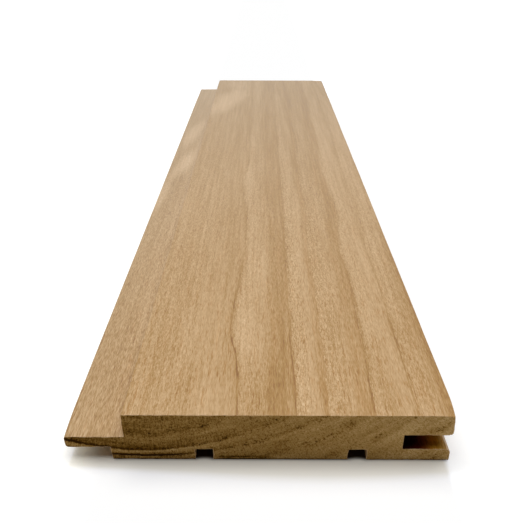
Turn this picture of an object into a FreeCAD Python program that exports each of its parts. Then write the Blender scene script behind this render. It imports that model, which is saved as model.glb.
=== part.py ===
import FreeCAD, Part
import Sketcher
import os

# Tongue and groove board: one length of planed timber, run through a moulder and sawn off square.
# X runs across the board from the tongue to the groove, Y along it and Z up from the back to the
# face. The origin is at the middle of the back, on the surface that the board lies on.
# Two laid boards meet at the back: the back lip of one stops against the back shoulder of the
# next, its groove stays clear of that board's tongue, and a shadow gap is left between the faces.

# The driving dimensions in millimetres, each with what it measures.
DRIVING = (
    ("board_length", 480.0, "sawn end to sawn end"),
    ("board_width", 120.0, "tip of the tongue to the edge of the face lip"),
    ("board_thickness", 18.0, "back to face"),
    ("tongue_reach", 14.2, "back shoulder to the tip of the tongue"),
    ("tongue_thickness", 4.3, "upper to lower side of the tongue"),
    ("tongue_drop", 8.8, "face down to the upper side of the tongue"),
    ("tongue_chamfer", 0.5, "lead-in on both arrises of the tongue's tip"),
    ("shadow_gap", 4.4, "gap between the faces of two laid boards"),
    ("shoulder_undercut", 0.6, "how far the back shoulder leans in at the back"),
    ("play_above", 1.0, "clearance over a neighbour's tongue in the groove"),
    ("play_below", 0.3, "clearance under a neighbour's tongue in the groove"),
    ("play_tip", 0.7, "clearance past the tip of a neighbour's tongue in the groove"),
    ("back_lip_setback", 0.2, "how far the back lip stops short of the face lip"),
    ("back_lip_chamfer", 1.1, "lead-in on the back lip's inner arris"),
    ("face_lip_radius", 0.8, "rounding of the face lip's inner arris"),
    ("face_arris_radius", 0.4, "easing of the two long arrises of the face"),
    ("relief_width", 5.5, "width of a relief groove in the back"),
    ("relief_depth", 4.2, "depth of a relief groove in the back"),
    ("relief_spacing", 47.8, "middle of one relief groove to the middle of the other"),
)

# Places on the section that several cuts share, as expressions on the sheet of sizes.
TONGUE_TIP = "-Sizes.board_width / 2"
FACE_LIP_EDGE = "Sizes.board_width / 2"
BACK_LIP_EDGE = "Sizes.board_width / 2 - Sizes.back_lip_setback"
FACE = "Sizes.board_thickness"
TONGUE_TOP = "Sizes.board_thickness - Sizes.tongue_drop"
TONGUE_UNDERSIDE = "Sizes.board_thickness - Sizes.tongue_drop - Sizes.tongue_thickness"
GROOVE_TOP = f"{TONGUE_TOP} + Sizes.play_above"
GROOVE_FLOOR = f"{TONGUE_UNDERSIDE} - Sizes.play_below"
FACE_SHOULDER_REACH = "Sizes.tongue_reach + Sizes.back_lip_setback + Sizes.shadow_gap"
GROOVE_DEPTH = "Sizes.back_lip_setback + Sizes.tongue_reach + Sizes.play_tip"
GROOVE_HEIGHT = "Sizes.tongue_thickness + Sizes.play_above + Sizes.play_below"
BACK_MIDDLE = "(Sizes.tongue_reach + Sizes.shoulder_undercut - Sizes.back_lip_setback) / 2"

RELIEF_COUNT = 2
ORIGIN_POINT = (-1, 1)
HORIZONTAL_AXIS = -1
NEAR = 1e-4

doc = FreeCAD.newDocument("tongue_and_groove_board")


def make_sheet():
    """The sheet of sizes: on each row a name, its value under that name as alias, and its meaning."""
    sheet = doc.addObject("Spreadsheet::Sheet", "Sizes")
    for row, (alias, value, meaning) in enumerate(DRIVING, start=1):
        sheet.set(f"A{row}", alias)
        sheet.set(f"B{row}", str(value))
        sheet.set(f"C{row}", meaning)
        sheet.setAlias(f"B{row}", alias)
    doc.recompute()
    return sheet


def value_of(expression):
    """What an expression on the sheet comes to, in millimetres."""
    return float(size_sheet.evalExpression(expression))


def outline(body, name, left, low, width, height, lean=None):
    """A four-sided sketch on the board's section. Its upper side is `width` long, its left side
    upright, and its lower side level at `low`, or on the board's back where that is None.
    Its right side is upright too, or reaches `lean` further out at its foot."""
    sketch = body.newObject("Sketcher::SketchObject", name)
    section_plane = next(o for o in body.Origin.OriginFeatures if o.Role == "XZ_Plane")
    sketch.AttachmentSupport = [(section_plane, "")]
    sketch.MapMode = "FlatFace"

    x_left = value_of(left)
    x_right = x_left + value_of(width)
    z_low = value_of(low) if low else 0.0
    z_high = z_low + value_of(height)
    x_foot = x_right + (value_of(lean) if lean else 0.0)
    corners = [(x_left, z_low), (x_foot, z_low), (x_right, z_high), (x_left, z_high)]
    points = [FreeCAD.Vector(x, z, 0) for x, z in corners]
    lower, right, upper, upright = range(4)
    start, end = 1, 2
    for side in (lower, right, upper, upright):
        sketch.addGeometry(Part.LineSegment(points[side], points[(side + 1) % 4]), False)
    for side in (lower, right, upper, upright):
        joined = (side, end, (side + 1) % 4, start)
        sketch.addConstraint(Sketcher.Constraint("Coincident", *joined))
    for kind, side in (("Horizontal", lower), ("Horizontal", upper), ("Vertical", upright)):
        sketch.addConstraint(Sketcher.Constraint(kind, side))

    def dimension(label, kind, first, second, expression):
        """A named dimension between two points of the sketch, bound to the sheet."""
        constraint = Sketcher.Constraint(kind, *first, *second, value_of(expression))
        index = sketch.addConstraint(constraint)
        sketch.renameConstraint(index, label)
        sketch.setExpression(f"Constraints.{label}", expression)

    dimension("left", "DistanceX", ORIGIN_POINT, (lower, start), left)
    if low:
        dimension("low", "DistanceY", ORIGIN_POINT, (lower, start), low)
    else:
        sketch.addConstraint(Sketcher.Constraint("PointOnObject", lower, start, HORIZONTAL_AXIS))
    dimension("width", "DistanceX", (upper, end), (upper, start), width)
    dimension("height", "DistanceY", (upright, end), (upright, start), height)
    if lean:
        dimension("lean", "DistanceX", (right, end), (right, start), lean)
    else:
        sketch.addConstraint(Sketcher.Constraint("Vertical", right))
    return sketch


def mill(body, name, left, low, width, height, lean=None):
    """One cut of the moulder along the whole board, and a check that it took wood away."""
    before = body.Shape.Volume
    cut = body.newObject("PartDesign::Pocket", name)
    cut.Profile = outline(body, f"{name}_outline", left, low, width, height, lean)
    cut.Type = "ThroughAll"
    cut.SideType = "Symmetric"
    doc.recompute()
    if body.Shape.Volume >= before:
        raise ValueError(f"{name} cut nothing")
    return cut


def ease(body, kind, name, size_property, size, arrises):
    """A chamfer or fillet on the arrises that run along the board at these places of its section."""
    found = []
    for x_place, z_place in arrises:
        x, z = value_of(x_place), value_of(z_place)
        for number, edge in enumerate(body.Shape.Edges, start=1):
            ends = [v.Point for v in edge.Vertexes]
            if all(abs(p.x - x) < NEAR and abs(p.z - z) < NEAR for p in ends):
                found.append(f"Edge{number}")
    if len(found) != len(arrises):
        raise ValueError(f"{name} found {len(found)} arrises and not {len(arrises)}")
    milled = body.Tip
    feature = body.newObject(kind, name)
    feature.Base = (milled, found)
    feature.setExpression(size_property, size)
    doc.recompute()
    return feature


def make_board():
    """The board: a planed blank, the cuts of its moulder from edge to edge, then its eased arrises."""
    body = doc.addObject("PartDesign::Body", "board")
    body.Label = "board"

    blank = body.newObject("PartDesign::Pad", "blank")
    blank.Profile = outline(body, "blank_outline", TONGUE_TIP, None, "Sizes.board_width", FACE)
    blank.SideType = "Symmetric"
    blank.setExpression("Length", "Sizes.board_length")
    doc.recompute()

    mill(body, "face_rebate", TONGUE_TIP, TONGUE_TOP, FACE_SHOULDER_REACH, "Sizes.tongue_drop")
    mill(
        body, "back_rebate", TONGUE_TIP, None, "Sizes.tongue_reach", TONGUE_UNDERSIDE,
        lean="Sizes.shoulder_undercut",
    )
    mill(
        body, "groove", f"{FACE_LIP_EDGE} - ({GROOVE_DEPTH})", GROOVE_FLOOR,
        GROOVE_DEPTH, GROOVE_HEIGHT,
    )
    mill(body, "back_lip_trim", BACK_LIP_EDGE, None, "Sizes.back_lip_setback", GROOVE_FLOOR)

    first_relief = f"{BACK_MIDDLE} - Sizes.relief_spacing / 2 - Sizes.relief_width / 2"
    relief = mill(
        body, "relief_groove", first_relief, None, "Sizes.relief_width", "Sizes.relief_depth"
    )
    reliefs = body.newObject("PartDesign::LinearPattern", "relief_grooves")
    reliefs.Originals = [relief]
    reliefs.Direction = (relief.Profile[0], ["H_Axis"])
    reliefs.Occurrences = RELIEF_COUNT
    reliefs.setExpression("Length", "Sizes.relief_spacing")
    body.Tip = reliefs
    doc.recompute()

    ease(
        body, "PartDesign::Chamfer", "tongue_lead_in", "Size", "Sizes.tongue_chamfer",
        [(TONGUE_TIP, TONGUE_TOP), (TONGUE_TIP, TONGUE_UNDERSIDE)],
    )
    ease(
        body, "PartDesign::Chamfer", "groove_lead_in", "Size", "Sizes.back_lip_chamfer",
        [(BACK_LIP_EDGE, GROOVE_FLOOR)],
    )
    ease(
        body, "PartDesign::Fillet", "face_lip_rounding", "Radius", "Sizes.face_lip_radius",
        [(FACE_LIP_EDGE, GROOVE_TOP)],
    )
    ease(
        body, "PartDesign::Fillet", "face_easing", "Radius", "Sizes.face_arris_radius",
        [(f"{TONGUE_TIP} + {FACE_SHOULDER_REACH}", FACE), (FACE_LIP_EDGE, FACE)],
    )
    return body


def check(parts):
    """Stops before anything is written if a feature failed or a piece isn't one sound solid."""
    for thing in doc.Objects:
        if "Invalid" in thing.State or "Error" in thing.State:
            raise ValueError(f"{thing.Name} failed: {thing.State}")
    for part in parts:
        shape = part.Shape
        if shape.isNull() or not shape.isValid() or len(shape.Solids) != 1:
            raise ValueError(f"{part.Label} isn't one sound solid")


size_sheet = make_sheet()
board = make_board()
doc.recompute()
check([board])
os.makedirs("parts", exist_ok=True)
for part in (board,):
    part.Shape.exportStep(f"parts/{part.Label}.step")
    box = part.Shape.BoundBox
    print(f"{part.Label}: {box.XLength:.2f} x {box.YLength:.2f} x {box.ZLength:.2f} mm")
    print(f"  volume {part.Shape.Volume:.1f} mm3, {len(part.Shape.Faces)} faces")
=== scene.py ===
import math

import bpy
import numpy as np
from mathutils import Euler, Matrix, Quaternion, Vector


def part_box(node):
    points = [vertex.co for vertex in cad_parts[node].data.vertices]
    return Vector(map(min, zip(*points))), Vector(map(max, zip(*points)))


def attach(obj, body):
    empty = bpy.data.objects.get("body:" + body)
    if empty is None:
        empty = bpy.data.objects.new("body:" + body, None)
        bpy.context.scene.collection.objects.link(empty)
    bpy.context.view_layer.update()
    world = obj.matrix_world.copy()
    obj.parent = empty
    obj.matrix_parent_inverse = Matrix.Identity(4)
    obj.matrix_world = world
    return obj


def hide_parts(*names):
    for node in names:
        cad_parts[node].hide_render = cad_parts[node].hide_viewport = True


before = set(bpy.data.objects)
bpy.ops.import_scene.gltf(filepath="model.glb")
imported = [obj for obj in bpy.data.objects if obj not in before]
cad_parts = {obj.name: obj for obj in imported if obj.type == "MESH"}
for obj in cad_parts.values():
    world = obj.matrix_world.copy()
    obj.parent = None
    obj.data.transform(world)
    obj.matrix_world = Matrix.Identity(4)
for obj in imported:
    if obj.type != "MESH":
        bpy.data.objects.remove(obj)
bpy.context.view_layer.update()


# The board is one length of planed timber. A moulder ran its section from end to end, with the
# tongue on the left and the groove on the right, and both ends were then sawn square and left bare.
# The sizes are those of the solid, and its arrises are as far broken and worn as handling leaves them.
MM = 0.001
board_low, board_high = (np.array(corner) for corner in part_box("board"))
TONGUE_REACH = 14.2 * MM
FACE_SHOULDER_REACH = 18.8 * MM
SHOULDER_UNDERCUT = 0.6 * MM
TONGUE_TOP = 9.2 * MM
TONGUE_UNDERSIDE = 4.9 * MM
TONGUE_CHAMFER = 0.5 * MM
GROOVE_TOP = 10.2 * MM
GROOVE_BOTTOM = 4.6 * MM
GROOVE_DEPTH = 15.1 * MM
BACK_LIP_SETBACK = 0.2 * MM
BACK_LIP_CHAMFER = 1.1 * MM
RELIEF_WIDTH = 5.5 * MM
RELIEF_DEPTH = 4.2 * MM
RELIEF_SPACING = 47.8 * MM
CRISP = 0.2 * MM
EASED = 0.4 * MM
ROUNDED = 0.8 * MM
EASE_STEPS = 6
OUTLINE_SPACING = 1.6 * MM
OUTLINE_NEAREST = 0.03 * MM
HALF_STATIONS = 110
STATION_GROWTH = 2.2
SAWN_BREAK = 0.42 * MM
SAWN_FRAY_PITCH = 1.1 * MM
ARRIS_WEAR = 0.12 * MM
ARRIS_WEAR_PITCH = 14.0 * MM
LEAST_FRAY = 0.2

tip_x, edge_x = board_low[0], board_high[0]
back_z, face_z = board_low[2], board_high[2]
near_y, far_y = board_low[1], board_high[1]
back_edge_x = edge_x - BACK_LIP_SETBACK
groove_floor_x = edge_x - GROOVE_DEPTH
face_shoulder_x = tip_x + FACE_SHOULDER_REACH
shoulder_x = tip_x + TONGUE_REACH
foot_x = shoulder_x + SHOULDER_UNDERCUT
relief_middles = (foot_x + back_edge_x) / 2 + np.array([1, -1]) * RELIEF_SPACING / 2


def section_corners():
    """The corners of the section, clockwise from the tongue's tip, as rows of x, z and easing."""
    corners = [
        (tip_x, TONGUE_UNDERSIDE + TONGUE_CHAMFER, CRISP),
        (tip_x, TONGUE_TOP - TONGUE_CHAMFER, CRISP),
        (tip_x + TONGUE_CHAMFER, TONGUE_TOP, CRISP),
        (face_shoulder_x, TONGUE_TOP, CRISP),
        (face_shoulder_x, face_z, EASED),
        (edge_x, face_z, EASED),
        (edge_x, GROOVE_TOP, ROUNDED),
        (groove_floor_x, GROOVE_TOP, CRISP),
        (groove_floor_x, GROOVE_BOTTOM, CRISP),
        (back_edge_x - BACK_LIP_CHAMFER, GROOVE_BOTTOM, CRISP),
        (back_edge_x, GROOVE_BOTTOM - BACK_LIP_CHAMFER, CRISP),
        (back_edge_x, back_z, CRISP),
    ]
    for middle in relief_middles:
        right, left = middle + RELIEF_WIDTH / 2, middle - RELIEF_WIDTH / 2
        corners += [
            (right, back_z, CRISP),
            (right, back_z + RELIEF_DEPTH, CRISP),
            (left, back_z + RELIEF_DEPTH, CRISP),
            (left, back_z, CRISP),
        ]
    corners += [
        (foot_x, back_z, CRISP),
        (shoulder_x, TONGUE_UNDERSIDE, CRISP),
        (tip_x + TONGUE_CHAMFER, TONGUE_UNDERSIDE, CRISP),
    ]
    return np.array(corners)


def eased_outline(corners):
    """The outline as rows of x and z. Each corner c is left at its easing from both sides, at a and b,
    and rounded by the parabola (1-t)^2 a + 2t(1-t) c + t^2 b. The runs between are divided evenly."""
    corner, easing = corners[:, None, :2], corners[:, None, 2:]
    before = np.roll(corner, 1, axis=0) - corner
    after = np.roll(corner, -1, axis=0) - corner
    start = corner + before / np.linalg.norm(before, axis=2, keepdims=True) * easing
    end = corner + after / np.linalg.norm(after, axis=2, keepdims=True) * easing
    t = np.linspace(0, 1, EASE_STEPS)[None, :, None]
    line = ((1 - t) ** 2 * start + 2 * t * (1 - t) * corner + t**2 * end).reshape(-1, 2)
    closed = np.vstack([line, line[:1]])
    run = np.concatenate([[0], np.cumsum(np.linalg.norm(np.diff(closed, axis=0), axis=1))])
    places = np.sort(np.concatenate([run[:-1], np.arange(0, run[-1], OUTLINE_SPACING)]))
    places = places[np.diff(places, append=run[-1]) > OUTLINE_NEAREST]
    return np.stack([np.interp(places, run, closed[:, axis]) for axis in (0, 1)], axis=1)


def stations():
    """Places along the board: at t from 0 to 1 from an end to the middle, half the length times a power
    of t, so that they crowd together at the ends where the wood is broken and worn."""
    half = (far_y - near_y) / 2
    inset = half * np.linspace(0, 1, HALF_STATIONS) ** STATION_GROWTH
    return np.concatenate([near_y + inset, (far_y - inset)[-2::-1]])


def uneven(first, second, pitch, seed):
    """A smooth uneven field from 0 to 1 over two coordinates: a value is drawn for each knot of a
    square net of that pitch, and four knots are mixed by the smooth steps 3s^2 - 2s^3 between them."""
    a, b = ((place - place.min()) / pitch for place in np.broadcast_arrays(first, second))
    i, j = a.astype(int), b.astype(int)
    knots = np.random.default_rng(seed).random((i.max() + 2, j.max() + 2))
    s, t = (step * step * (3 - 2 * step) for step in (a - i, b - j))
    near_side = knots[i, j] * (1 - t) + knots[i, j + 1] * t
    far_side = knots[i + 1, j] * (1 - t) + knots[i + 1, j + 1] * t
    return near_side * (1 - s) + far_side * s


def worn_board(outline, along):
    """The surface S(v, u) = P(u) + N(u) e(v, u): the outline P carried along the stations v, and set in
    along its inward normal N by e. At a sawn end e is a quarter round of a frayed radius, which each end
    reads from its own row of an uneven field, and along the board it is uneven wear on the outline's
    outer corners."""
    ahead = np.roll(outline, -1, axis=0) - outline
    run = np.cumsum(np.linalg.norm(ahead, axis=1))
    heading = np.unwrap(np.arctan2(ahead[:, 1], ahead[:, 0]))
    turn = -np.diff(heading, prepend=heading[:1])
    corner = np.clip(turn * EASE_STEPS / (math.pi / 2), 0, 1)
    across = np.roll(outline, -1, axis=0) - np.roll(outline, 1, axis=0)
    across /= np.linalg.norm(across, axis=1, keepdims=True)
    inward = np.stack([across[:, 1], -across[:, 0]], axis=1)

    u, v = np.meshgrid(run, along)
    from_end = np.minimum(v - near_y, far_y - v)
    row_of_end = np.where(v > 0, 2 * SAWN_FRAY_PITCH, 0)
    fray = uneven(u, row_of_end, SAWN_FRAY_PITCH, seed=3)
    radius = SAWN_BREAK * (LEAST_FRAY + (1 - LEAST_FRAY) * fray**2)
    short = np.clip(1 - from_end / radius, 0, 1)
    set_in = radius * (1 - np.sqrt(1 - short**2))
    set_in += ARRIS_WEAR * corner * uneven(u, v, ARRIS_WEAR_PITCH, seed=5) ** 2
    x, z = (outline[:, axis] + inward[:, axis] * set_in for axis in (0, 1))
    return np.stack([x, v, z], axis=2)


# The corners that were knocked or torn, each by its place, the way in which its wood gives, how far round
# it the wood gives, and how deep.
TEAR_HEIGHT = 1.4 * MM
torn_wall_x = relief_middles[0] - RELIEF_WIDTH / 2
WORN_CORNERS = (
    ((edge_x, near_y, face_z), (-0.9, 0.0, -0.45), 10 * MM, 0.6 * MM),
    ((tip_x, near_y, TONGUE_TOP), (1.0, 0.0, 0.0), 16 * MM, 0.45 * MM),
    ((torn_wall_x, near_y, TEAR_HEIGHT), (-1.0, 0.0, 0.0), 2.4 * MM, 1.1 * MM),
    ((edge_x, near_y, GROOVE_TOP), (-0.7, 0.0, 0.7), 2.2 * MM, 0.45 * MM),
    ((tip_x, near_y, TONGUE_UNDERSIDE), (1.0, 0.0, 0.25), 4.6 * MM, 0.5 * MM),
    ((edge_x, far_y, face_z), (-0.7, 0.0, -0.7), 6 * MM, 0.35 * MM),
    ((face_shoulder_x, far_y, face_z), (0.7, 0.0, -0.7), 5 * MM, 0.25 * MM),
)


def knocked(surface):
    """The surface with its worn corners pushed in: within a corner's reach each point moves along the
    corner's own direction by its depth times (1 - d)^2, where d is the distance as a share of the reach."""
    for corner, direction, reach, depth in WORN_CORNERS:
        share = np.clip(np.linalg.norm(surface - corner, axis=2) / reach, 0, 1)
        surface = surface + np.array(direction) * (depth * (1 - share) ** 2)[..., None]
    return surface


# The finishes by their number on the mesh, the share of the groove's depth at which the one with painted
# shade begins, the room left when points are counted as inside the groove, and the angle of a sharp arris.
PLANED, GROOVE_SHADED, SAWN = range(3)
GROOVE_SHADED_FROM = 0.04
SLACK = 0.05 * MM
SHARP_ANGLE = math.radians(40)


def depth_in_groove(surface):
    """How deep each point lies in the groove, as a share of the groove's depth: 0 outside it and at its
    mouth, and 1 at its floor."""
    x, z = surface[..., 0], surface[..., 2]
    between_lips = (x > groove_floor_x - SLACK) & (z > GROOVE_BOTTOM - SLACK) & (z < GROOVE_TOP + SLACK)
    return np.where(between_lips, np.clip((edge_x - x) / GROOVE_DEPTH, 0, 1), 0)


def closed_mesh(name, surface):
    """A mesh of the surface: quads between neighbouring stations, and one flat face over each end.
    Each point carries how deep it lies in the groove. Quads inside the groove take the finish with painted
    shade and the end faces the sawn one."""
    rows, columns = surface.shape[:2]
    number = np.arange(rows * columns).reshape(rows, columns)
    right = np.roll(number, -1, axis=1)
    quads = np.stack([number[:-1], right[:-1], right[1:], number[1:]], axis=2).reshape(-1, 4)
    faces = quads.tolist() + [number[0, ::-1].tolist(), number[-1].tolist()]
    mesh = bpy.data.meshes.new(name)
    mesh.from_pydata(surface.reshape(-1, 3), [], faces)
    depth = depth_in_groove(surface).ravel().astype(np.float32)
    mesh.attributes.new("groove_depth", "FLOAT", "POINT").data.foreach_set("value", depth)
    sides = np.where(depth[quads].min(axis=1) > GROOVE_SHADED_FROM, GROOVE_SHADED, PLANED)
    finishes = np.concatenate([sides, [SAWN, SAWN]]).astype(np.int32)
    mesh.polygons.foreach_set("material_index", finishes)
    mesh.polygons.foreach_set("use_smooth", finishes != SAWN)
    mesh.set_sharp_from_angle(angle=SHARP_ANGLE)
    mesh.validate()
    return mesh


board_surface = knocked(worn_board(eased_outline(section_corners()), stations()))
board = bpy.data.objects.new("planed_board", closed_mesh("planed_board", board_surface))
bpy.context.scene.collection.objects.link(board)


# The board's finish is its own bare wood: planed along the board, with painted shade in the groove, and
# sawn across at the ends. All three were cut from one tree, so each works out its colour from the place of
# a point in that tree, by sums on the wires between a shader's nodes.

class Wire:
    """A value on its way through a shader: one output socket of a node. Arithmetic between wires and
    numbers adds Math nodes, and node() adds any other node to the same tree of nodes. A wire without a
    socket only starts a tree."""

    def __init__(self, tree, socket=None):
        self.tree = tree
        self.socket = socket

    def node(self, kind, settings=None, inputs=None, output=0):
        """Adds a node: its settings are set first, then its inputs are linked to wires or set."""
        added = self.tree.nodes.new("ShaderNode" + kind)
        for name, value in (settings or {}).items():
            if name == "stops":
                while len(added.color_ramp.elements) < len(value):
                    added.color_ramp.elements.new(1.0)
                for stop, (place, shade) in zip(added.color_ramp.elements, value):
                    stop.position = place
                    stop.color = shade
            elif name == "joined":
                added.color_ramp.interpolation = value
            else:
                setattr(added, name, value)
        for name, value in (inputs or {}).items():
            if isinstance(value, Wire):
                value.into(added, name)
            else:
                added.inputs[name].default_value = value
        return Wire(self.tree, added.outputs[output])

    def into(self, node, name):
        """Links this wire to that input of a node."""
        self.tree.links.new(self.socket, node.inputs[name])

    def maths(self, operation, *values):
        """A Math node on wires and numbers."""
        return self.node("Math", {"operation": operation}, dict(enumerate(values)))

    def vector(self, operation, value):
        """A Vector Math node on this vector or colour and a second one, or a number to scale it by."""
        second = "Scale" if operation == "SCALE" else 1
        return self.node("VectorMath", {"operation": operation}, {0: self, second: value})

    def split(self):
        """The three wires of this vector."""
        first = self.node("SeparateXYZ", None, {0: self})
        return [Wire(self.tree, socket) for socket in first.socket.node.outputs]

    def rise(self, start, end):
        """0 before start, 1 past end, and a smooth rise between them. The end may be below the start."""
        limits = {"From Min": start, "From Max": end}
        return self.node("MapRange", {"interpolation_type": "SMOOTHSTEP"}, {"Value": self, **limits})

    def noise(self, cell, output="Fac", **inputs):
        """Noise about 0.5 on this vector of millimetres, with cells of that size along its axes."""
        scaled = self.vector("DIVIDE", cell)
        inputs = {name.title(): value for name, value in inputs.items()}
        return self.node("TexNoise", None, {"Vector": scaled, "Scale": 1.0, **inputs}, output)

    def swing(self, cell, **inputs):
        """The same noise, about 0."""
        return self.noise(cell, **inputs) - 0.5

    def ramp(self, stops, joined="LINEAR"):
        """The colour that this wire's value has between the stops, which are rows of value and colour."""
        return self.node("ValToRGB", {"stops": stops, "joined": joined}, {"Fac": self})

    def blend(self, under, over, kind="MIX"):
        """One colour laid over another, mixed or by that kind of blend, with this wire as the factor. The
        sockets that a Mix node has for colours are known by their numbers."""
        factor, first, second, result = 0, 6, 7, 2
        settings = {"data_type": "RGBA", "blend_type": kind}
        return self.node("Mix", settings, {factor: self, first: under, second: over}, result)


# The operators between wires and numbers, and their reflected forms.
for method, operation in (
    ("add", "ADD"),
    ("sub", "SUBTRACT"),
    ("mul", "MULTIPLY"),
    ("truediv", "DIVIDE"),
    ("pow", "POWER"),
):
    setattr(Wire, f"__{method}__", lambda a, b, kind=operation: a.maths(kind, a, b))
    setattr(Wire, f"__r{method}__", lambda a, b, kind=operation: a.maths(kind, b, a))


# The tree that the board was cut from, in millimetres in the board's own frame. Its pith ran along the
# board above the face. A ring is known by its level, which comes from its depth below the back at the
# line under the pith: from there it climbs to both sides as a parabola, and inner rings curve more.
PITH_X = -33.7
RING_RADIUS = 96.0
INNER_GAIN = 3.6
OUTER_GAIN = 0.6
OUTER_SPACING = 0.6

# Each row gives the level where a ring ends and how dark its line is, then the age at which its late wood
# begins and how dark that is, how light and how flecked its early wood is, and how strongly its line and
# its early wood show where sawn. The first row only gives the level where the innermost ring begins.
RINGS = (
    (-18.8, 0.5, 0.6, 0.3, 0.4, 0.3, 0.1),
    (-11.2, 1.4, 0.78, 0.15, 0.0, 0.5, 0.03),
    (-4.8, 0.7, 0.45, 0.35, 1.0, 0.5, 0.3),
    (-1.25, 0.3, 0.68, 0.5, 1.0, 0.9, 1.0),
    (3.6, 0.75, 0.5, 0.5, 0.2, 0.7, 0.1),
    (8.6, 0.8, 0.85, 0.2, 1.0, 0.5, 0.1),
    (14.2, 0.6, 0.6, 0.3, 0.5, 0.5, 0.1),
    (20.2, 0.6, 0.6, 0.3, 0.5, 0.5, 0.1),
    (27.0, 0.5, 0.6, 0.3, 0.5, 0.5, 0.1),
)
RING_ENDS, FACE_LINES, LATE_STARTS, FACE_LATES, FACE_EARLIES, FACE_FLECKS, SAWN_LINES = zip(*RINGS)
RING_WIDTHS = np.diff(RING_ENDS, prepend=RING_ENDS[0])

# The rings wander from side to side along the length, by rows of distance from the near end and shift.
# The inner course holds left of the middle, and the outer one right of it, eased off near the edge.
INNER_COURSE = (
    (0, 0.0), (20, -0.2), (32, -1.4), (42, -3.5), (56, -3.5), (70, -2.6), (84, -1.4), (100, -0.3),
    (135, -0.2), (170, -2.0), (205, -3.2), (246, -0.4), (300, -2.0), (360, -0.8), (420, -2.4), (480, -1.0),
)
OUTER_COURSE = (
    (0, 0.2), (26, 1.2), (50, 1.5), (84, 2.4), (108, 1.6), (135, 3.0), (162, 4.4), (192, 2.8),
    (250, 3.0), (288, 4.6), (330, 3.2), (390, 4.4), (480, 3.0),
)
COURSE_RANGE = (-6.0, 8.0)
INNER_ENDS = (-3.0, 8.0)
OUTER_STARTS = (13.0, 33.0)
OUTER_EASES = (39.0, 50.0)
OUTER_EASED_BY = 0.6
RAGGED_RING = (1.2, 13.0, 1.2)
RAGGED_BY = 0.75
BOARD_LENGTH = (far_y - near_y) / MM


def grey(level):
    """A number as the colour of a ramp's stop."""
    return (level, level, level, 1.0)


def course(along, stops):
    """How far the rings have wandered at that distance along the board, in millimetres."""
    low, high = COURSE_RANGE
    rows = [(place / BOARD_LENGTH, grey((shift - low) / (high - low))) for place, shift in stops]
    return low + (along / BOARD_LENGTH).ramp(rows, "CARDINAL") * (high - low)


def ring_depth(across, z, gain):
    """How deep below the back a ring runs under the pith, if it goes through a point that far across: the
    ring at depth d is the parabola z = -d + across^2 / 2r with r = RING_RADIUS + gain d, solved for d."""
    within = RING_RADIUS - z * gain
    beyond = RING_RADIUS + z * gain
    return ((within * within + across * across * (2 * gain)) ** 0.5 - beyond) / (2 * gain)


def ring_level(across, z):
    """The level of the ring through a point: its depth, with the rings below the back closer together."""
    inner = ring_depth(across, z, INNER_GAIN)
    outer = ring_depth(across, z, OUTER_GAIN)
    return inner.maths("MINIMUM", inner, 0.0) + outer.maths("MAXIMUM", outer, 0.0) * OUTER_SPACING


def on_board(place):
    """Where a point lies across the board, along it from the near end, and up from the back."""
    x, y, z = place.split()
    return x, y + BOARD_LENGTH / 2, z


def place_in_tree(place):
    """How far a point lies across from the line under the pith, and the level of the ring through it."""
    x, along, z = on_board(place)
    inner = course(along, INNER_COURSE) * (1 - x.rise(*INNER_ENDS))
    outer = course(along, OUTER_COURSE) * x.rise(*OUTER_STARTS)
    across = x - PITH_X - inner - outer * (1 - OUTER_EASED_BY * x.rise(*OUTER_EASES))
    ragged = place.swing(RAGGED_RING, detail=2.0)
    return across, ring_level(across, z) + ragged * RAGGED_BY


def age_in_ring(level):
    """The age of the wood within its ring: 0 in the light early wood at the ring's start, rising evenly
    to 1 in the dark late wood at its end."""
    age = 0.0
    for start, end in zip(RING_ENDS, RING_ENDS[1:]):
        grown = level.node("MapRange", None, {"Value": level, "From Min": start, "From Max": end})
        age = age + grown - level.maths("GREATER_THAN", level, end)
    return age


def of_ring(level, values):
    """The one of these values that belongs to the ring at that level."""
    low, most = RING_ENDS[0], max(values)
    whole = RING_ENDS[-1] - low
    starts = [(start - low) / whole for start in RING_ENDS[:-1]]
    shares = [grey(value / most) for value in values[1:]]
    return ((level - low) / whole).ramp(list(zip(starts, shares)), "CONSTANT") * most


# The planed wood: tan, with a thin dark line where a ring ends, dark bands before and just after it, and
# light wood with curled flecks further on. The knives left it rougher low down, at the tongue and the
# back, and it is duller towards the far end and greyer there, as a painted sheen of grazing light.

def colour(red, green, blue):
    """A colour given as a screen shows it, from 0 to 255, as a shader takes it: the screen's own curve, a
    power of 2.4 with a straight foot, undone."""
    shown = np.array([red, green, blue]) / 255
    linear = np.where(shown <= 0.04045, shown / 12.92, ((shown + 0.055) / 1.055) ** 2.4)
    return (*linear.tolist(), 1.0)


PLANED_TONES = (
    (0.0, colour(128, 82, 8)),
    (0.25, colour(159, 119, 54)),
    (0.5, colour(188, 152, 105)),
    (0.75, colour(208, 174, 130)),
    (1.0, colour(230, 202, 162)),
)
WARM_TINT = colour(255, 245, 226)
# The grey that the wood is mixed towards: along the board as a painted sheen of grazing light, and low down
# where it was cut rough.
SHEEN_AND_ROUGH_GREY, GREYED_BY, ROUGH_GREYED_BY = colour(170, 156, 134), 0.36, 0.12

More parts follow.
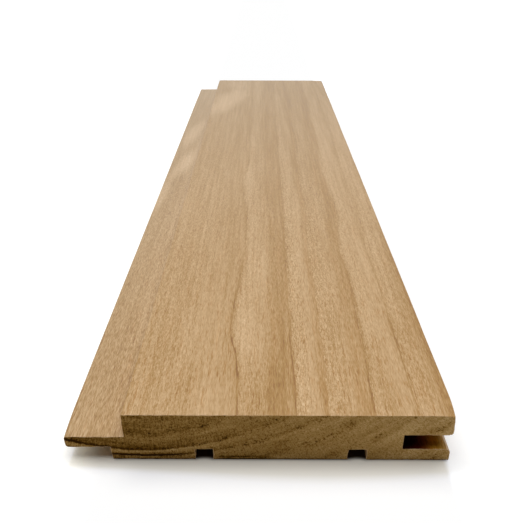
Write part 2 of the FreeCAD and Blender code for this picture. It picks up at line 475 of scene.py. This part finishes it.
# The planed wood's tone, and the marks that shift it up or down the scale, each by its share. A mark's own
# size is in millimetres across, along and up, IN is the noise over which it comes in, and FADES is the
# distance from the near end over which it fades. Places in a ring are ages, or millimetres at its line.
PLANED_TONE = 0.41
DULLED, DULLED_BY = (150.0, 450.0), 0.11
BROAD_BAND, BROAD_SHARE = (12.0, 120.0, 12.0), 0.3
STREAK, STREAK_SHARE = (1.1, 40.0, 1.1), 0.42
FIBRE, FIBRE_SHARE, ROUGH_FIBRE_SHARE = (0.27, 2.8, 0.27), 0.76, 0.6
FINE_FADES, FINE_FADED_BY = (130.0, 400.0), 0.5
FLECK, FLECK_SHARE = (0.34, 1.5, 0.34), 1.2
ROUGH_CUT = (12.0, 9.5)
CURL, CURL_IN, CURL_SHARE = (0.5, 2.2, 0.5), (0.5, 0.7), 0.24
DASH, DASH_IN, DASH_SHARE = (0.38, 6.0, 0.38), (0.57, 0.72), 0.14
WARM_STREAK, WARM_FROM, WARM_SHARE = (2.0, 30.0, 2.0), 0.45, 1.3
MEANDER, MEANDER_BY = (5.0, 14.0, 5.0), (0.8, 0.0, 0.8)
EARLY_ENDS, EARLY_SHARE = (-0.1, 0.15), 0.08
EARLY_FADES, EARLY_FADED_BY = (200.0, 380.0), 0.5
FLECKED_WOOD = (0.2, 0.8)
LATE_RISE, LATE_SHARE, LATE_WARMTH = 0.2, 0.12, 0.5
AFTER_LINE, AFTER_SHARE = 0.65, 0.05
RING_LINE, LINE_SHARE = (0.13, 0.33), 0.27
LINE_BREAK, LINE_WHOLE = (1.6, 18.0, 1.6), (0.28, 0.5)
LINE_FADES_IN = 70.0
FIBRE_HEIGHT, DASH_DEPTH = 0.5, 0.4
PLANED_ROUGHNESS, ROUGHER_WITH_HEIGHT = 0.46, 0.3
PLANED_BUMP = {"Strength": 0.4, "Distance": 0.06 * MM}

# Pale and dark places where the cut leaves another layer of wood, and one painted shade on the tongue
# along the foot of the face's shoulder, each by its middle, its half sizes and the slant of its ends, in
# millimetres across, along from the near end and up, and its share of the tone.
PATCHES = (
    ((1, 8, 18), (9, 32, 6), 0.0, -0.2),
    ((6, 36, 18), (5, 26, 6), 0.0, -0.08),
    ((-24, 10, 18), (4, 26, 6), 0.0, -0.08),
    ((-14, 4, 18), (10, 20, 6), 0.0, 0.07),
    ((-50, 20, 9), (18, 140, 6), 0.0, -0.08),
    # Painted shade on the tongue along the foot of the face's shoulder.
    ((-43, 60, 9), (4, 120, 6), 0.0, -0.07),
    ((-4, 44, 18), (6, 22, 6), 0.0, 0.05),
    ((42, 22, 18), (6, 36, 6), 0.0, -0.09),
    ((52, 42, 18), (5, 18, 6), 0.0, -0.08),
    ((59, 65, 18), (7, 110, 6), 0.0, -0.16),
    ((-28, 397, 18), (22, 46, 6), 2.0, 0.3),
    ((-22, 464, 18), (20, 24, 6), 0.0, 0.14),
    ((-58, 198, 9), (5, 34, 6), 3.0, 0.3),
    ((-51, 255, 9), (9, 30, 6), 3.0, 0.34),
    ((-52, 325, 9), (9, 34, 6), 3.0, 0.34),
)
RAGGED_PATCH, PATCH_RAGGED_BY = (5.0, 26.0, 5.0), 0.7
PATCH_EDGE = (0.2, 1.1)

# Inside the groove the wood's colour is multiplied by these, from the groove's mouth to its floor: painted
# warm light near the mouth, and painted shade deeper in, where light is lost between dark sides.
GROOVE_PAINTED_SHADING = (
    (0.06, colour(235, 226, 212)),
    (0.22, colour(255, 238, 140)),
    (0.36, colour(230, 196, 90)),
    (0.5, colour(166, 114, 60)),
    (0.65, colour(102, 36, 28)),
    (0.85, colour(60, 20, 16)),
    (1.0, colour(46, 15, 11)),
)
# The groove's wood is lifted up the scale of tones as painted light, for the warm light near its mouth.
GROOVE_PAINTED_LIFT = 0.2
MATT = 1.0


def patches(place):
    """How much paler or darker the wood is inside the patches, with a ragged edge along the grain."""
    x, along, z = on_board(place)
    ragged = place.swing(RAGGED_PATCH, detail=3.0) * PATCH_RAGGED_BY
    total = 0.0
    for (middle_x, middle_y, middle_z), (half_x, half_y, half_z), slant, share in PATCHES:
        across = (x - middle_x) / half_x
        down = (z - middle_z) / half_z
        length = (along - middle_y - (x - middle_x) * slant) / half_y
        distance = (across * across + down * down + length * length) ** 0.5
        total = total + (1 - (distance + ragged).rise(*PATCH_EDGE)) * share
    return total


def new_material(name, specular):
    """A material with that specular level: a wire to build its nodes from, its shader and itself."""
    material = bpy.data.materials.new(name)
    material.use_nodes = True
    shader = material.node_tree.nodes["Principled BSDF"]
    shader.inputs["Specular IOR Level"].default_value = specular
    return Wire(material.node_tree), shader, material


def planed_grain(start, lift=0.0):
    """The planed wood's colour and the height of its fibres, solid through the board: rings about the
    pith, and fibres, flecks and dark dashes along them. The lift moves all of it up the scale of tones."""
    place = start.node("TexCoord", output="Object").vector("SCALE", 1 / MM)
    _, along, z = on_board(place)
    rough = z.rise(*ROUGH_CUT)
    _, level = place_in_tree(place)
    age = age_in_ring(level)
    fine = 1 - FINE_FADED_BY * along.rise(*FINE_FADES)
    width = of_ring(level, RING_WIDTHS)
    ripened = age - of_ring(level, LATE_STARTS)
    after = 1 - (age * width).rise(0.0, AFTER_LINE)
    early = (1 - after) * (1 - ripened.rise(*EARLY_ENDS)) * of_ring(level, FACE_EARLIES)
    early = early * (1 - EARLY_FADED_BY * along.rise(*EARLY_FADES))
    flecked = (1 - age.rise(*FLECKED_WOOD)) * of_ring(level, FACE_FLECKS) * fine
    late = ripened.rise(0.0, LATE_RISE) * of_ring(level, FACE_LATES) * (1 - rough)
    line = (1 - ((1 - age) * width).rise(*RING_LINE)) * of_ring(level, FACE_LINES)
    line = line * place.noise(LINE_BREAK, detail=2.0).rise(*LINE_WHOLE)
    line = line / (1 + (along / LINE_FADES_IN) ** 2)

    meander = place.noise(MEANDER, "Color", detail=1.0).vector("SUBTRACT", (0.5, 0.5, 0.5))
    wavy = place.vector("ADD", meander.vector("MULTIPLY", MEANDER_BY))
    broad = place.swing(BROAD_BAND, detail=2.0)
    streak = wavy.swing(STREAK, detail=3.0)
    fibre = wavy.swing(FIBRE, detail=2.0, roughness=0.6)
    fleck = wavy.swing(FLECK, detail=1.0, distortion=1.0)
    curl = wavy.noise(CURL, detail=1.0, distortion=1.2).rise(*CURL_IN)
    dash = wavy.noise(DASH, detail=1.0).rise(*DASH_IN)
    warm = (wavy.noise(WARM_STREAK, detail=2.0) - WARM_FROM) * WARM_SHARE
    warm = warm + late * LATE_WARMTH + dash

    tone = PLANED_TONE + lift - along.rise(*DULLED) * DULLED_BY + patches(place)
    tone = tone + broad * BROAD_SHARE + streak * STREAK_SHARE + early * EARLY_SHARE
    tone = tone + fibre * fine * (FIBRE_SHARE + rough * ROUGH_FIBRE_SHARE)
    tone = tone + flecked * (fleck * FLECK_SHARE + curl * CURL_SHARE)
    tone = tone - late * LATE_SHARE - after * AFTER_SHARE - dash * DASH_SHARE - line * LINE_SHARE
    tinted = warm.rise(0.0, 1.0).blend(tone.ramp(PLANED_TONES), WARM_TINT, "MULTIPLY")
    # Painted sheen: greyer towards the far end, and greyer too where the wood was cut rough.
    sheen_and_rough_greyed = (along * (GREYED_BY / BOARD_LENGTH) + rough * ROUGH_GREYED_BY).blend(tinted, SHEEN_AND_ROUGH_GREY)
    return sheen_and_rough_greyed, fibre * FIBRE_HEIGHT - dash * DASH_DEPTH


def planed_wood():
    """The planed wood of the face, the tongue and the back, with the low sheen that the knives leave."""
    start, shader, material = new_material("planed_wood", specular=0.45)
    shade, height = planed_grain(start)
    shade.into(shader, "Base Color")
    (PLANED_ROUGHNESS + height * ROUGHER_WITH_HEIGHT).into(shader, "Roughness")
    start.node("Bump", None, {"Height": height, **PLANED_BUMP}).into(shader, "Normal")
    return material


def groove_painted_shade_wood():
    """The same wood inside the groove: matt, lifted and tinted as painted warm light near the mouth, and
    darkened by painted shade the deeper it lies.
    """
    start, shader, material = new_material("groove_painted_shade_wood", specular=0.0)
    shade, _ = planed_grain(start, GROOVE_PAINTED_LIFT)
    depth = start.node("Attribute", {"attribute_name": "groove_depth"}, None, "Fac")
    # Painted shade and painted warm light, picked by the depth in the groove.
    shade.vector("MULTIPLY", depth.ramp(GROOVE_PAINTED_SHADING)).into(shader, "Base Color")
    shader.inputs["Roughness"].default_value = MATT
    return material


# The sawn wood: the same rings, end on, which sag towards the tongue, with clusters of dark pores along
# them and fine rays across them. It is darker towards the tongue and the back, partly the wood's own and
# partly painted shade; a painted contact shade darkens it along the arris of the foot; and it is darker in
# a streak above the middle of the foot.
SAWN_TONES = (
    (0.0, colour(50, 26, 0)),
    (0.25, colour(103, 70, 16)),
    (0.5, colour(150, 115, 60)),
    (0.75, colour(180, 145, 91)),
    (1.0, colour(207, 175, 125)),
)

# The sawn wood's tone at the origin and its rise for each millimetre across and up, which is partly painted
# shade, then its marks, given as on the planed wood. Here a mark fades, sags or starts by its place across
# the board, or up it.
SAWN_TONE = 0.568
TONE_ACROSS = 0.0042
TONE_UP = 0.0032
PORE, PORE_IN, PORE_SHARE = (0.36, 9.0, 0.36), (0.52, 0.66), 0.26
RAY, RAY_SHARE = (0.32, 5.0, 4.0), 0.68
RAY_FADES, RAY_FADED_BY = (-25.0, 25.0), 0.6
BAND, BAND_SHARE = (11.0, 30.0, 1.4), 0.45
MOTTLE, MOTTLE_SHARE = (0.75, 6.0, 0.75), 0.55
CLUSTER, CLUSTER_IN, CLUSTER_SHARE = (0.7, 9.0, 0.5), (0.5, 0.64), 0.36
CLUSTER_GROUP, GROUP_IN = (5.0, 20.0, 5.0), (0.44, 0.6)
STAIN, STAIN_IN, STAIN_SHARE = (3.0, 20.0, 1.6), (0.5, 0.66), 0.14
RING_EDGE_BEFORE, RING_EDGE_AFTER = (0.66, 0.95), (0.0, 0.2)
SAWN_LINE, SAWN_LINE_SHARE = (0.6, 1.1), 0.75
LINE_BREAKS_UP = (2.0, 16.0)
SAWN_EARLY, SAWN_EARLY_SHARE, SAWN_EARLY_FADES = (0.2, 0.7), 0.25, (-30.0, 5.0)
SAWN_LATE, SAWN_LATE_SHARE = (0.35, 0.6), 0.05
# Painted contact shade along the arris of the foot.
FOOT_CONTACT_SHADE, FOOT_CONTACT_SHADE_SHARE = (0.6, 0.2), 0.3
SAG_UP, SAG_ACROSS, SAG = (2.1, 3.7), (-5.0, -40.0), 1.15
FOOT_STREAK, FOOT_STREAK_IN, FOOT_STREAK_SHARE = (5.0, 20.0, 0.9), (0.44, 0.58), 0.36
FOOT_STREAK_UP, FOOT_STREAK_LEFT, FOOT_STREAK_RIGHT = (2.2, 1.0), (-20.0, -16.0), (9.0, -4.0)
SAWN_ROUGHNESS = 0.9
RAY_HEIGHT = 0.5
SAWN_BUMP = {"Strength": 0.5, "Distance": 0.06 * MM}


def sawn_wood():
    """The sawn wood of the two ends, matt and open. Pores and a mottle of cut fibres lie on the board's own
    axes, and rays, bands, clusters and stains on axes that go round, along and across the rings."""
    start, shader, material = new_material("sawn_wood", specular=0.03)
    place = start.node("TexCoord", output="Object").vector("SCALE", 1 / MM)
    x, y, z = place.split()
    sag = start.node("CombineXYZ", None, {"Z": z.rise(*SAG_UP) * x.rise(*SAG_ACROSS) * SAG})
    across, level = place_in_tree(place.vector("ADD", sag))
    age = age_in_ring(level)
    turned = across.maths("ARCTAN2", across, RING_RADIUS - z) * RING_RADIUS
    polar = start.node("CombineXYZ", None, {"X": turned, "Y": y, "Z": level})

    pore = place.noise(PORE, detail=1.0, roughness=0.7).rise(*PORE_IN)
    ray = polar.swing(RAY, detail=2.0) * (1 - RAY_FADED_BY * x.rise(*RAY_FADES))
    band = polar.swing(BAND, detail=1.0)
    mottle = place.swing(MOTTLE, detail=2.0)
    edge = age.rise(*RING_EDGE_BEFORE) + 1 - age.rise(*RING_EDGE_AFTER)
    group = place.noise(CLUSTER_GROUP, detail=1.0).rise(*GROUP_IN)
    cluster = edge * group * polar.noise(CLUSTER, detail=2.0, roughness=0.6).rise(*CLUSTER_IN)
    stain = edge * polar.noise(STAIN, detail=2.0).rise(*STAIN_IN)
    early = (1 - age.rise(*SAWN_EARLY)) * (1 - x.rise(*SAWN_EARLY_FADES)) * of_ring(level, SAWN_LINES)
    line = 1 - ((1 - age) * of_ring(level, RING_WIDTHS)).rise(*SAWN_LINE)
    line = line * (1 - across.rise(*LINE_BREAKS_UP)) * of_ring(level, SAWN_LINES)
    streak = place.noise(FOOT_STREAK, detail=1.0).rise(*FOOT_STREAK_IN) * z.rise(*FOOT_STREAK_UP)
    streak = streak * x.rise(*FOOT_STREAK_LEFT) * x.rise(*FOOT_STREAK_RIGHT)

    # Painted shade: darker towards the tongue and the back, partly the wood's own, and along the foot's
    # arris.
    tone = SAWN_TONE + x * TONE_ACROSS + z * TONE_UP - z.rise(*FOOT_CONTACT_SHADE) * FOOT_CONTACT_SHADE_SHARE
    tone = tone + ray * RAY_SHARE + band * BAND_SHARE + mottle * MOTTLE_SHARE
    tone = tone - pore * PORE_SHARE - cluster * CLUSTER_SHARE - stain * STAIN_SHARE
    tone = tone - line * SAWN_LINE_SHARE - streak * FOOT_STREAK_SHARE
    tone = tone + early * SAWN_EARLY_SHARE - age.rise(*SAWN_LATE) * SAWN_LATE_SHARE
    tone.ramp(SAWN_TONES).into(shader, "Base Color")
    shader.inputs["Roughness"].default_value = SAWN_ROUGHNESS
    height = ray * RAY_HEIGHT - pore
    start.node("Bump", None, {"Height": height, **SAWN_BUMP}).into(shader, "Normal")
    return material


# The finishes go on in the order of their numbers.
for finish in (planed_wood(), groove_painted_shade_wood(), sawn_wood()):
    board.data.materials.append(finish)
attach(board, "root")
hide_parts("board")


# The floor is a plain white sheet under the board, large enough to fill every view. Its own glow, to the
# eye alone, takes it to white beside the board and ahead of the shadow of its ends, and the ramps of that
# glow are painted light that shapes the edges of the shadow. Under the board, and a little past its ends,
# painted shade darkens it, apart from a little painted light for what reaches into the mouths of the relief
# grooves.
FLOOR_HALF = 6.0
FLOOR_SHADE = (0.85, 0.83, 0.765, 1.0)
# The painted shade on the floor under the board.
FLOOR_PAINTED_SHADE = (0.05, 0.035, 0.025, 1.0)
FLOOR_GAP = 0.02 * MM

# How far in from the rim of the back the painted shade is whole, how far out past the ends it starts as a
# painted contact shadow, and how wide and deep the painted light in the mouth of a relief groove is.
PAINTED_SHADE_IN = 1.2 * MM
CONTACT_SHADE_REACH = 1.1 * MM
LIT_MOUTH_HALF, LIT_MOUTH_DEPTH = 2.4 * MM, 0.5 * MM

# The glow past the ends, which comes in over this distance, and over less away from the shadow's middle,
# then the glow to the left of the board and to its right: painted light that shapes the shadow's edges.
GLOWS_AHEAD_IN = (1.5 * MM, 11.0 * MM)
SHADOW_MIDDLE = 20.0 * MM
SHADOW_SHORTENS_IN = 66.0 * MM
GLOWS_AHEAD = (
    (0.0, grey(0.0)),
    (0.5, (0.045, 0.044, 0.046, 1.0)),
    (1.0, (0.16, 0.18, 0.245, 1.0)),
)
GLOWS_LEFT_FROM, GLOWS_LEFT_IN = 2.0 * MM, 11.6 * MM
GLOWS_LEFT = (
    (0.0, grey(0.0)),
    (0.6, (0.234, 0.229, 0.195, 1.0)),
    (0.88, (0.3, 0.297, 0.269, 1.0)),
    (1.0, (0.385, 0.4, 0.42, 1.0)),
)
GLOWS_RIGHT_IN = (-2.3 * MM, 0.0)
GLOW_RIGHT = (0.2, 0.225, 0.285, 1.0)

corner_signs = np.array([(-1, -1), (1, -1), (1, 1), (-1, 1)])
floor_corners = np.insert(corner_signs * FLOOR_HALF, 2, back_z - FLOOR_GAP, axis=1)
floor_mesh = bpy.data.meshes.new("floor")
floor_mesh.from_pydata(floor_corners, [], [(0, 1, 2, 3)])
floor = bpy.data.objects.new("floor", floor_mesh)
bpy.context.scene.collection.objects.link(floor)


def seen_directly(wire):
    """1 for what the camera sees, straight or by a reflection or through glass, and 0 for other light."""
    seen = wire.node("LightPath", output="Is Camera Ray") + wire.node("LightPath", output="Is Glossy Ray")
    return seen + wire.node("LightPath", output="Is Transmission Ray")


floor_start, floor_shader, floor_material = new_material("white_floor", specular=0.0)
floor_x, floor_y, _ = floor_start.node("TexCoord", output="Object").split()
left_of, right_of = foot_x - floor_x, floor_x - back_edge_x
beyond = floor_y.maths("ABSOLUTE", floor_y) - far_y
# Painted light in the mouths of the relief grooves, which holds the painted shade back there.
lit_depth = 0.0
for middle in relief_middles:
    off_mouth = (floor_x - float(middle)) / LIT_MOUTH_HALF
    lit_mouth = off_mouth.maths("MAXIMUM", 1 - off_mouth * off_mouth, 0.0)
    lit_depth = lit_depth + lit_mouth * LIT_MOUTH_DEPTH
# Painted shade under the board, and a painted contact shadow a little past its ends.
painted_shade_under = left_of.rise(0.0, -PAINTED_SHADE_IN) * right_of.rise(0.0, -PAINTED_SHADE_IN)
painted_shade_under = painted_shade_under * (beyond + lit_depth).rise(CONTACT_SHADE_REACH, -PAINTED_SHADE_IN)
off_middle = (floor_x - SHADOW_MIDDLE) / SHADOW_SHORTENS_IN
# Glow ramps that are painted light, shaping the edges of the shadow.
glow_ahead = (beyond * (1 + off_middle * off_middle)).rise(*GLOWS_AHEAD_IN).ramp(GLOWS_AHEAD)
out_left = left_of.maths("MAXIMUM", left_of - GLOWS_LEFT_FROM, 0.0) / GLOWS_LEFT_IN
glow_left = (out_left * out_left).ramp(GLOWS_LEFT)
glow_right = right_of.rise(*GLOWS_RIGHT_IN).blend(grey(0.0), GLOW_RIGHT)
glow = glow_ahead.vector("ADD", glow_left).vector("ADD", glow_right)
glow = glow.vector("SCALE", seen_directly(floor_start) * (1 - painted_shade_under))
glow.into(floor_shader, "Emission Color")
painted_shade_under.blend(FLOOR_SHADE, FLOOR_PAINTED_SHADE).into(floor_shader, "Base Color")
floor_shader.inputs["Roughness"].default_value = MATT
floor_shader.inputs["Emission Strength"].default_value = 1.0
floor_mesh.materials.append(floor_material)


# The light is one broad soft lamp, overhead and a little behind the board and to its right, with a
# faint even fill from all round. Together they light a level surface at about 1, which the lamp alone would
# do at an energy of pi.
KEY_SPREAD = math.radians(60)
KEY_BEHIND = math.radians(10)
KEY_RIGHT = math.radians(1)
KEY_LEVEL = 0.93
FILL_LEVEL = 0.07

key_lamp = bpy.data.lights.new("overhead_softbox", "SUN")
key_lamp.angle = KEY_SPREAD
key_lamp.energy = KEY_LEVEL * math.pi
key = bpy.data.objects.new("overhead_softbox", key_lamp)
key.rotation_euler = (-KEY_BEHIND, KEY_RIGHT, 0)
bpy.context.scene.collection.objects.link(key)

world = bpy.data.worlds.new("white_room")
world.use_nodes = True
bpy.context.scene.world = world
room_light = seen_directly(Wire(world.node_tree)).blend(grey(FILL_LEVEL), grey(1.0))
room_light.into(world.node_tree.nodes["Background"], "Color")


# The camera stands low in front of the near end and looks down along the board. Its place, its angles in
# radians and its focal length in pixels of the image come from a fit to the board's edges and corners.
IMAGE_WIDTH = 523
FOCAL_PIXELS = 613.3
CAMERA_PLACE = np.array([1.02, -380.5, 145.0]) * MM
CAMERA_DOWN = 0.489
CAMERA_ROLL = 0.0034
SENSOR_WIDTH = 36.0
NEAREST_SEEN = 10.0 * MM

camera_data = bpy.data.cameras.new("camera")
camera_data.sensor_width = SENSOR_WIDTH
camera_data.lens = FOCAL_PIXELS / IMAGE_WIDTH * SENSOR_WIDTH
camera_data.clip_start = NEAREST_SEEN
camera = bpy.data.objects.new("camera", camera_data)
camera.location = CAMERA_PLACE
level_view = Euler((math.pi / 2 - CAMERA_DOWN, 0, 0)).to_quaternion()
camera.rotation_euler = (level_view @ Quaternion((0, 0, 1), CAMERA_ROLL)).to_euler()
bpy.context.scene.collection.objects.link(camera)
bpy.context.scene.camera = camera
bpy.context.scene.view_settings.view_transform = "Standard"

bpy.context.view_layer.update()
